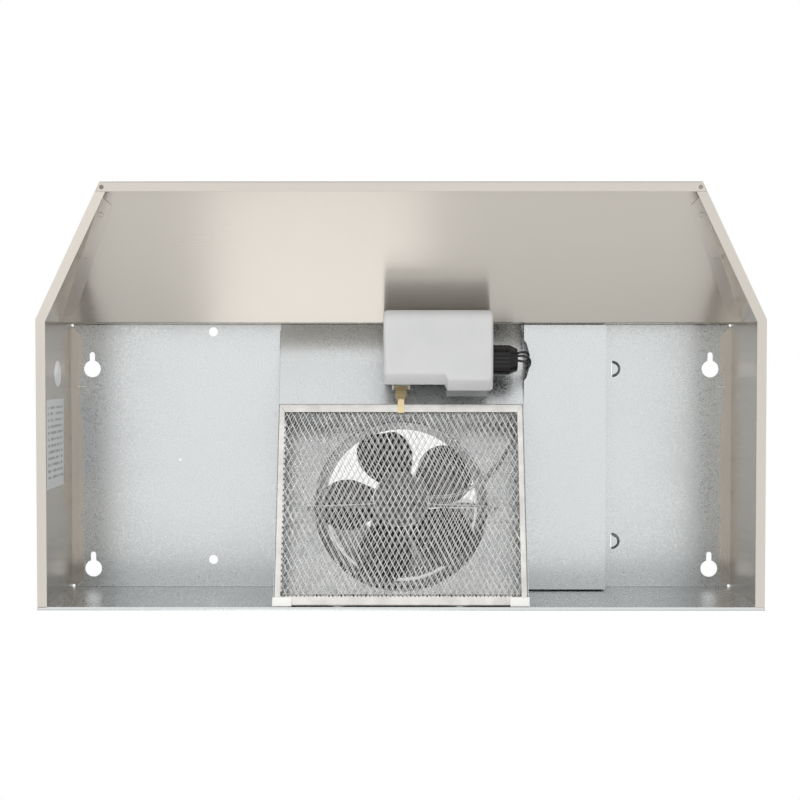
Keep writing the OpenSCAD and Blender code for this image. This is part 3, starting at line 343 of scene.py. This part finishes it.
def grid_faces(rows, columns, wrap_rows=False, wrap_columns=False, start=0):
    """Quads between the points of a rows by columns grid."""
    faces = []
    for i in range(rows if wrap_rows else rows - 1):
        for j in range(columns if wrap_columns else columns - 1):
            a, b = i, (i + 1) % rows
            c, d = j, (j + 1) % columns
            faces.append([start + a * columns + c, start + a * columns + d,
                          start + b * columns + d, start + b * columns + c])
    return faces


def lathe(profile, steps=64, wave=None):
    """A closed profile of (radius, height) turned about Z; wave may change a radius by its angle."""
    points = []
    for i in range(steps):
        angle = 2 * math.pi * i / steps
        for radius, height in profile:
            r = radius + (wave(radius, height, angle) if wave else 0.0)
            points.append((r * math.cos(angle), r * math.sin(angle), height))
    return points, grid_faces(steps, len(profile), wrap_rows=True, wrap_columns=True)


def arc(centre, radius, start, end, steps=6):
    """Points on an arc in a plane, with its angles in degrees."""
    return [(centre[0] + radius * math.cos(math.radians(a)), centre[1] + radius * math.sin(math.radians(a)))
            for a in np.linspace(start, end, steps)]


def prism(section, place, ends):
    """Closed prism: place(u, v, w) maps the section's (u, v) at each w in ends."""
    count = len(section)
    points = [place(u, v, w) for w in ends for u, v in section]
    faces = grid_faces(len(ends), count, wrap_columns=True)
    faces += [list(range(count)), [(len(ends) - 1) * count + i for i in range(count)]]
    return points, faces


def merged(*shapes):
    points, faces = [], []
    for shape_points, shape_faces in shapes:
        faces += [[i + len(points) for i in face] for face in shape_faces]
        points += list(shape_points)
    return points, faces


def moved(shape, matrix):
    return [matrix @ Vector(p) for p in shape[0]], shape[1]


def block(low, high):
    """Plain box between two corners; its piece bevels it."""
    corners = [(x, y, z) for x in (low[0], high[0]) for y in (low[1], high[1]) for z in (low[2], high[2])]
    return corners, [(0, 1, 3, 2), (4, 6, 7, 5), (0, 4, 5, 1), (2, 3, 7, 6), (0, 2, 6, 4), (1, 5, 7, 3)]


# ---------- filter ----------

SLOPE = math.radians(18)
FILTER_AT = Vector((0.0, 9.2, 72.0)) * MM
filter_place = Matrix.Translation(FILTER_AT) @ Matrix.Rotation(-SLOPE, 4, "X")
FILTER_W, FILTER_L, FILTER_T = 0.2667, 0.2205, 0.0095
BAR_SIDE, BAR_END = 0.0065, 0.0094
CELL_X, CELL_Y = 0.00645, 0.0127
STRAND_W, STRAND_T = 0.00062, 0.00014
LAYERS = 3


def mesh_layer(depth, phase, turn, random):
    """One sheet of expanded foil: strands zigzag along the filter and meet at short knuckles."""
    half_w, half_l = FILTER_W / 2 - 0.0018, FILTER_L / 2 - 0.0018
    points, faces = [], []
    knuckle = 0.16
    for strand in range(-2, int(4 * half_w / CELL_X) + 3):
        steps = np.arange(-2, int(4 * half_l / CELL_Y) + 3)
        side = np.where((steps + strand) % 2 == 0, 1.0, -1.0)
        middle_y = -half_l + (steps + phase[1]) * CELL_Y / 2
        y = np.stack([middle_y - knuckle * CELL_Y / 4, middle_y + knuckle * CELL_Y / 4], 1).ravel()
        lean = np.repeat(side, 2)
        x = -half_w + (strand + 0.5 + phase[0]) * CELL_X / 2 + lean * (CELL_X / 4 - STRAND_W * 0.28)
        y = y + random.normal(0.0, 0.00022, len(y)) + 0.0007 * math.sin(strand * 0.17 + depth * 900) \
            + 0.0005 * math.sin(strand * 0.61 + depth * 2100)
        x = x + 0.0008 * np.sin(y * 37 + depth * 1300) + random.normal(0.0, 0.00016, len(x))
        xt, yt = x * math.cos(turn) - y * math.sin(turn), x * math.sin(turn) + y * math.cos(turn)
        keep = (abs(xt) < half_w) & (abs(yt) < half_l)
        if keep.sum() < 4:
            continue
        xt, yt, lean = xt[keep], yt[keep], lean[keep]
        tilt = lean * 0.3 + random.normal(0.0, 0.3, len(lean))
        wide = np.stack([np.cos(tilt), 0 * xt, np.sin(tilt)], 1) * STRAND_W / 2
        thin = np.stack([-np.sin(tilt), 0 * xt, np.cos(tilt)], 1) * STRAND_T / 2
        middle = np.stack([xt, yt + FILTER_L / 2, depth + lean * 0.0002], 1)
        start = len(points)
        ring = np.stack([middle - wide - thin, middle + wide - thin,
                         middle + wide + thin, middle - wide + thin], 1)
        points += [filter_place @ Vector(p) for p in ring.reshape(-1, 3)]
        faces += grid_faces(len(xt), 4, wrap_columns=True, start=start)
        faces += [[start + i for i in range(4)], [start + (len(xt) - 1) * 4 + i for i in range(4)]]
    return points, faces


def make_filter_mesh():
    random = np.random.default_rng(7)
    depths = np.linspace(0.0017, FILTER_T - 0.0017, LAYERS)
    phases = ((0.0, 0.0), (0.02, 0.5), (0.1, 0.08))
    turns = (0.0, 0.002, -0.002)
    for number, values in enumerate(zip(depths, phases, turns), 1):
        piece(f"expanded_mesh_{number}", *mesh_layer(*values, random),
              "mesh_aluminium", "filter", ["filter_mesh"], smooth=20.0)


def channel_section(width, height, sheet, bend):
    """Folded channel as (share of the bar's width, height): open towards the mesh."""
    outer = ([(width, 0.0)] + arc((bend, bend), bend, 270, 180)
             + arc((bend, height - bend), bend, 180, 90) + [(width, height)])
    inner = [(width, height - sheet)] + arc((bend, height - bend), bend - sheet, 90, 180) \
        + arc((bend, bend), bend - sheet, 180, 270) + [(width, sheet)]
    return [(u / width, v) for u, v in outer + inner]


def make_filter_frame():
    """Four mitred channels with a hair gap at each mitre."""
    gap = 0.00012
    shapes = []
    for end_bar in (False, True):
        width = BAR_END if end_bar else BAR_SIDE
        section = channel_section(width, FILTER_T, 0.0008, 0.0016)
        for side in (-1, 1):
            def place(u, v, w, end_bar=end_bar, side=side):
                across, along = FILTER_W / 2 - u * BAR_SIDE, FILTER_L / 2 - u * BAR_END
                if end_bar:
                    x, y = w * (across - gap), side * along
                else:
                    x, y = side * across, w * (along - gap)
                return filter_place @ Vector((x, y + FILTER_L / 2, v))
            shapes.append(prism(section, place, (-1.0, 1.0)))
    made = piece("filter_channels", *merged(*shapes),
                 "filter_aluminium", "filter", ["filter_frame"], smooth=50.0)
    return made


def make_selvage():
    """Cut ends of the foil that show beside the left bar and along the rear one."""
    teeth = []
    left = -FILTER_W / 2 + BAR_SIDE
    for y in np.arange(0.022, FILTER_L - 0.014, 0.0058):
        teeth.append(moved(block((left - 0.0006, y, 0.0009), (left + 0.0015, y + 0.0036, 0.0015)),
                           filter_place))
    rear = FILTER_L - BAR_END
    for x in np.arange(-0.122, 0.118, 0.0043):
        teeth.append(moved(block((x, rear - 0.0014, 0.0009), (x + 0.0027, rear + 0.0006, 0.0015)),
                           filter_place))
    made = piece("mesh_selvage", *merged(*teeth), "mesh_aluminium", "filter")
    modify(made, "BEVEL", width=0.00018, segments=2)


# ---------- lamp ----------

LENS_X, LENS_W = -0.019, 0.118
LENS_FRONT, LENS_BOTTOM = -0.0923, 0.041
FOLD_Y = -0.0805
LAMP = Vector((0.0, -0.0386, 0.088))
SOCKET_R = 0.0164


def lens_path(inset, rear):
    """The lens's outside as (Y, Z), from the rear rim down and round to the front rim."""
    round_rear = arc((rear - 0.006, 0.057), 0.006 - inset * 0.5, 0, -35, 4)
    round_low = arc((rear - 0.016, LENS_BOTTOM + 0.008), 0.008 - inset, -40, -90, 5)
    round_front = arc((LENS_FRONT + 0.012, LENS_BOTTOM + 0.012), 0.012 - inset, 270, 180, 9)
    return ([(rear - inset, 0.1225)] + round_rear + round_low + round_front
            + [(LENS_FRONT + inset, 0.0915), (LENS_FRONT + inset + 0.0006, 0.0926), (FOLD_Y + 0.0025, 0.1005),
               (FOLD_Y + 0.0025, 0.128)])


def make_lens():
    corner = 0.005
    left_rear, right_rear, step_x = -0.0119, -0.0054, LENS_X + 0.068
    stations = [(LENS_X + corner * (1 - math.cos(a)), corner * (1 - math.sin(a)))
                for a in np.linspace(0, math.pi / 2, 6)]
    stations += [(step_x - 0.002, 0.0), (step_x, 0.0), (step_x + 0.002, 0.0)]
    stations += [(LENS_X + LENS_W - x + LENS_X, inset) for x, inset in reversed(stations[:6])]
    rings = []
    for x, inset in stations:
        share = min(1.0, max(0.0, (x - step_x + 0.0015) / 0.003))
        rear = left_rear + (right_rear - left_rear) * share * share * (3 - 2 * share)
        rings.append([(x, y, z) for y, z in lens_path(inset, rear)])
    count = len(rings[0])
    points = [p for ring in rings for p in ring]
    faces = grid_faces(len(rings), count) + [list(range(count)),
                                             [len(points) - count + i for i in range(count)]]
    made = piece("lens_shell", points, faces, "lens_plastic", "lens", ["lamp_lens"], smooth=35.0)
    modify(made, "SOLIDIFY", thickness=0.002, offset=-1.0, use_even_offset=True)
    # notch for the socket
    outline = [(LAMP.y + SOCKET_R + 0.0007, 0.14)] + \
        arc((LAMP.y, LAMP.z), SOCKET_R + 0.0007, 0, -180, 24) + [(LAMP.y - SOCKET_R - 0.0007, 0.14)]
    shape = prism(outline, lambda u, v, w: (w, u, v), (LENS_X + LENS_W - 0.012, LENS_X + LENS_W + 0.01))
    cut_from(made, shape)
    settle(made, 35.0)
    # lugs that plug into the plate, and the foot at the rear
    lugs = [block((x, -0.067, 0.121), (x + 0.002, -0.059, 0.147)) for x in (LENS_X, LENS_X + LENS_W - 0.002)]
    foot = block((LENS_X + 0.07, right_rear - 0.0005, 0.1196),
                 (LENS_X + LENS_W - 0.002, right_rear + 0.008, 0.1212))
    lug_piece = piece("lens_lugs", *merged(*lugs, foot), "lens_plastic", "lens")
    modify(lug_piece, "BEVEL", width=0.0004, segments=2)


def cut_from(made, shape):
    """Cuts a closed shape out of a piece."""
    mesh = bpy.data.meshes.new("cutter")
    mesh.from_pydata([tuple(p) for p in shape[0]], [], shape[1])
    cutter = bpy.data.objects.new("cutter", mesh)
    bpy.context.scene.collection.objects.link(cutter)
    settle(cutter, 30.0)
    modify(made, "BOOLEAN", object=cutter, operation="DIFFERENCE", solver="EXACT")
    bpy.data.objects.remove(cutter)


BULB_X, BULB_R, BASE_R = 0.038, 0.023, 0.0131
lamp_axis = Matrix.Translation(LAMP) @ Matrix.Rotation(math.pi / 2, 4, "Y")


def make_bulb():
    """Pear-shaped envelope of one thin wall, and a screw base with a rounded thread."""
    neck_start = 55
    ball = [(BULB_R * math.sin(math.radians(a)), BULB_X - BULB_R * math.cos(math.radians(a)))
            for a in np.linspace(2, 180 - neck_start, 22)]
    last_r, last_z = ball[-1]
    neck = []
    for t in np.linspace(0.1, 1.0, 10):
        bend = t * t * (3 - 2 * t)
        neck.append((last_r + (BASE_R - 0.0008 - last_r) * bend, last_z + (BULB_X + 0.046 - last_z) * t))
    outer = ball + neck
    inner = [(max(0.0002, r - 0.0008), z + 0.0008 * (1 if i < 8 else 0)) for i, (r, z) in enumerate(outer)]
    points, faces = lathe(outer + inner[::-1], 72)
    piece("bulb_envelope", *moved((points, faces), lamp_axis),
          "bulb_glass", "bulb", ["bulb_glass"], smooth=60.0)
    start, pitch = BULB_X + 0.046, 0.0036
    wall = [(BASE_R - 0.0006, z) for z in np.linspace(start, start + 0.021, 36)]
    tip = [(0.0118, start + 0.022), (0.0098, start + 0.0236), (0.0054, start + 0.0246),
           (0.0048, start + 0.026),
           (0.0003, start + 0.0262)]
    profile = [(0.0003, start)] + wall + tip

    def thread(radius, height, angle):
        inside = start + 0.002 < height < start + 0.0205 and radius > 0.012
        return 0.00055 * math.cos(2 * math.pi * (height - start) / pitch - angle) if inside else 0.0
    points, faces = lathe(profile, 72, thread)
    piece("bulb_screw_base", *moved((points, faces), lamp_axis),
          "plated_steel", "bulb", ["bulb_base"], smooth=60.0)


# ---------- fan ----------

FAN_R, PETALS, PITCH, FIRST_PETAL = 0.0855, 5, math.radians(20), math.radians(-31)
hinge = next(j for j in frame["joints"] if j["name"] == "fan_spin")
fan_place = Matrix.Translation(Vector(hinge["pos_m"])) @ Matrix.Rotation(-SLOPE, 4, "X")
HUB_PLANE = 0.003


def petal_sides(radius):
    """Both sides of a petal at a distance along its middle, from a small root to a big lobe."""
    sweep = np.linspace(0.0, 1.0, 80)
    middle, aside, round_r = 0.026 + 0.0335 * sweep, 0.003 - 0.0075 * sweep, 0.0125 + 0.0185 * sweep
    half = np.sqrt(np.clip(round_r ** 2 - (radius - middle) ** 2, 0.0, None))
    inside = half > 0
    rim = math.sqrt(max(0.0, FAN_R ** 2 - radius ** 2))
    return max(-rim, (aside - half)[inside].min()), min(rim, (aside + half)[inside].max())


def make_petals():
    shapes = []
    radii = [0.020 + (FAN_R - 0.0202) * math.sin(t) for t in np.linspace(0.0, math.pi / 2, 26)]
    across = np.linspace(0, 1, 15)
    hub = Vector((0, 0, HUB_PLANE))
    for k in range(PETALS):
        turn = (Matrix.Rotation(FIRST_PETAL + 2 * math.pi * k / PETALS, 4, "Z")
                @ Matrix.Translation(hub) @ Matrix.Rotation(PITCH, 4, "X"))
        points = []
        for face in (-1, 1):
            for radius in radii:
                low, high = petal_sides(radius)
                for share in across:
                    edge = min(1.0, 14 * share * (1 - share) + 0.25, (FAN_R - radius) * 900 + 0.3)
                    side = (low + (high - low) * share) / math.cos(PITCH)
                    camber = 0.0022 * (4 * share * (1 - share) - 0.5) * radius / FAN_R
                    points.append(turn @ Vector((radius, side, 0.0015 + camber + face * 0.0009 * edge)))
        size = len(radii) * len(across)
        faces = grid_faces(len(radii), len(across)) + grid_faces(len(radii), len(across), start=size)
        rim = ([(0, j) for j in range(len(across))] + [(i, len(across) - 1) for i in range(1, len(radii))]
               + [(len(radii) - 1, j) for j in range(len(across) - 2, -1, -1)]
               + [(i, 0) for i in range(len(radii) - 2, 0, -1)])
        ring = [i * len(across) + j for i, j in rim]
        faces += [[ring[i], ring[(i + 1) % len(ring)], ring[(i + 1) % len(ring)] + size, ring[i] + size]
                  for i in range(len(ring))]
        shapes.append((points, faces))
    disc = [(0.00905, 0.0030)] + arc((0.0285, 0.0040), 0.001, 270, 360, 4) \
        + arc((0.0285, 0.0052), 0.001, 0, 90, 4) \
        + [(0.021, 0.0062), (0.019, 0.0072), (0.013, 0.0072), (0.012, 0.0064), (0.00905, 0.0064)]
    shapes.append(lathe(disc, 80))
    piece("fan_petals", *moved(merged(*shapes), fan_place), "fan_plastic", "fan", ["fan_blade"], smooth=50.0)


# ---------- small details ----------

def make_collar_bead():
    """Raised bead that stiffens the duct collar and stops the duct."""
    low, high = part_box("duct_collar")
    radius = 0.0884
    middle = Matrix.Translation((0.0, 0.129, high.z - 0.012))
    section = (arc((radius - 0.0002, 0.0), 0.0014, -90, 90, 8)
               + [(radius - 0.0003, 0.0014), (radius - 0.0003, -0.0014)])
    piece("collar_bead", *moved(lathe(section, 128), middle), "galvanised", "shell", smooth=50.0)


def make_rocker_marks():
    """Plain raised dots for a finger to find: one on the lamp's rocker, two on the fan's."""
    for name, node, body, offsets in (("light_dot", "light_rocker", "light_rocker_body", (0.0,)),
                                      ("fan_dots", "fan_rocker", "fan_rocker_body", (-0.003, 0.003))):
        low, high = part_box(node)
        shapes = []
        for offset in offsets:
            dome = (arc((0.0, 0.0), 0.0009, 0, 88, 6)
                    + [(0.0001, 0.0009), (0.0001, -0.0003), (0.0009, -0.0003)])
            at = Vector(((low.x + high.x) / 2 + offset, 0.0, 0.0))
            shapes.append((dome, at))
        tilt = math.radians(8 if node == "light_rocker" else 0)
        pivot = Vector((0.0, FOLD_Y - 0.0012, 0.136))
        placed = []
        for dome, at in shapes:
            local = Matrix.Translation((at.x, -0.0031, 0.0)) @ Matrix.Rotation(math.pi / 2, 4, "X")
            placed.append(moved(lathe(dome, 24),
                                Matrix.Translation(pivot) @ Matrix.Rotation(tilt, 4, "X") @ local))
        piece(name, *merged(*placed), "black_plastic", body, smooth=60.0)


# ---------- studio ----------

FLOOR_Z = -1.75
FLOOR_BOX_Z = FLOOR_Z + 0.03


def make_floor():
    work = bmesh.new()
    bmesh.ops.create_grid(work, x_segments=8, y_segments=8, size=9.0)
    mesh = bpy.data.meshes.new("studio_floor")
    work.to_mesh(mesh)
    work.free()
    floor = bpy.data.objects.new("studio_floor", mesh)
    floor.location.z = FLOOR_Z
    bpy.context.scene.collection.objects.link(floor)
    look = Look("studio_paper", (0.86, 0.86, 0.855), 0.9)
    look.color(look.noise(3.0), (0.84, 0.84, 0.835), (0.88, 0.88, 0.875))
    mesh.materials.append(look.material)


def make_world():
    """Soft box all round: white overhead, and a little darker at the horizon."""
    world = bpy.data.worlds.new("studio")
    bpy.context.scene.world = world
    world.use_nodes = True
    nodes, links = world.node_tree.nodes, world.node_tree.links
    direction = nodes.new("ShaderNodeTexCoord").outputs["Generated"]
    split = nodes.new("ShaderNodeSeparateXYZ")
    links.new(direction, split.inputs[0])
    ramp = nodes.new("ShaderNodeValToRGB")
    remap = nodes.new("ShaderNodeMapRange")
    remap.inputs["From Min"].default_value = -1.0
    links.new(split.outputs["Z"], remap.inputs["Value"])
    links.new(remap.outputs[0], ramp.inputs["Fac"])
    stops = ramp.color_ramp.elements
    stops[0].position, stops[0].color = 0.0, (0.85, 0.85, 0.85, 1)
    stops[1].position, stops[1].color = 0.93, (1.0, 1.0, 1.0, 1)
    for position, level in ((0.44, 0.72), (0.6, 0.5), (0.8, 0.7)):
        stop = stops.new(position)
        stop.color = (level, level, level * 1.005, 1)
    background = nodes["Background"]
    links.new(ramp.outputs["Color"], background.inputs["Color"])
    background.inputs["Strength"].default_value = 1.0


def make_light(name, at, target, size, power, tint=(1.0, 1.0, 1.0)):
    data = bpy.data.lights.new(name, "AREA")
    data.shape = "RECTANGLE"
    data.size, data.size_y = size
    data.energy = power
    data.color = tint
    light = bpy.data.objects.new(name, data)
    light.location = at
    light.rotation_euler = (Vector(target) - Vector(at)).to_track_quat("-Z", "Y").to_euler()
    light.visible_camera = False
    bpy.context.scene.collection.objects.link(light)


def make_camera():
    """Straight up into the hood from 1.43 m below its rim, tipped a degree and a half towards the wall."""
    data = bpy.data.cameras.new("camera")
    data.sensor_width = 36.0
    data.lens = 61.84
    data.clip_start = 0.05
    camera = bpy.data.objects.new("camera", data)
    camera.location = (0.0019, -0.0366, -1.4289)
    camera.rotation_euler = [math.radians(a) for a in (178.406, -0.115, -0.011)]
    bpy.context.scene.collection.objects.link(camera)
    bpy.context.scene.camera = camera


make_filter_mesh()
make_filter_frame()
make_selvage()
make_lens()
make_bulb()
make_petals()
make_collar_bead()
make_rocker_marks()

make_floor()
make_world()
make_light("floor_box", (0.0, 0.0, FLOOR_BOX_Z), (0.0, 0.0, 0.0), (4.4, 4.4), 32.0)
make_light("visor_box", (-0.2, 1.5, -0.25), (-0.1, -0.15, 0.08), (0.5, 1.2), 4.5)
make_light("under_left", (-1.5, -0.6, -1.3), (0.0, 0.0, 0.1), (0.9, 0.9), 3.0)
make_light("front_key", (-1.6, -2.2, 1.5), (0.0, 0.0, 0.1), (1.6, 1.6), 26.0)
make_light("rear_fill", (1.8, 2.0, 1.4), (0.0, 0.0, 0.1), (1.6, 1.6), 14.0)
make_camera()
bpy.context.scene.view_settings.view_transform = "Standard"
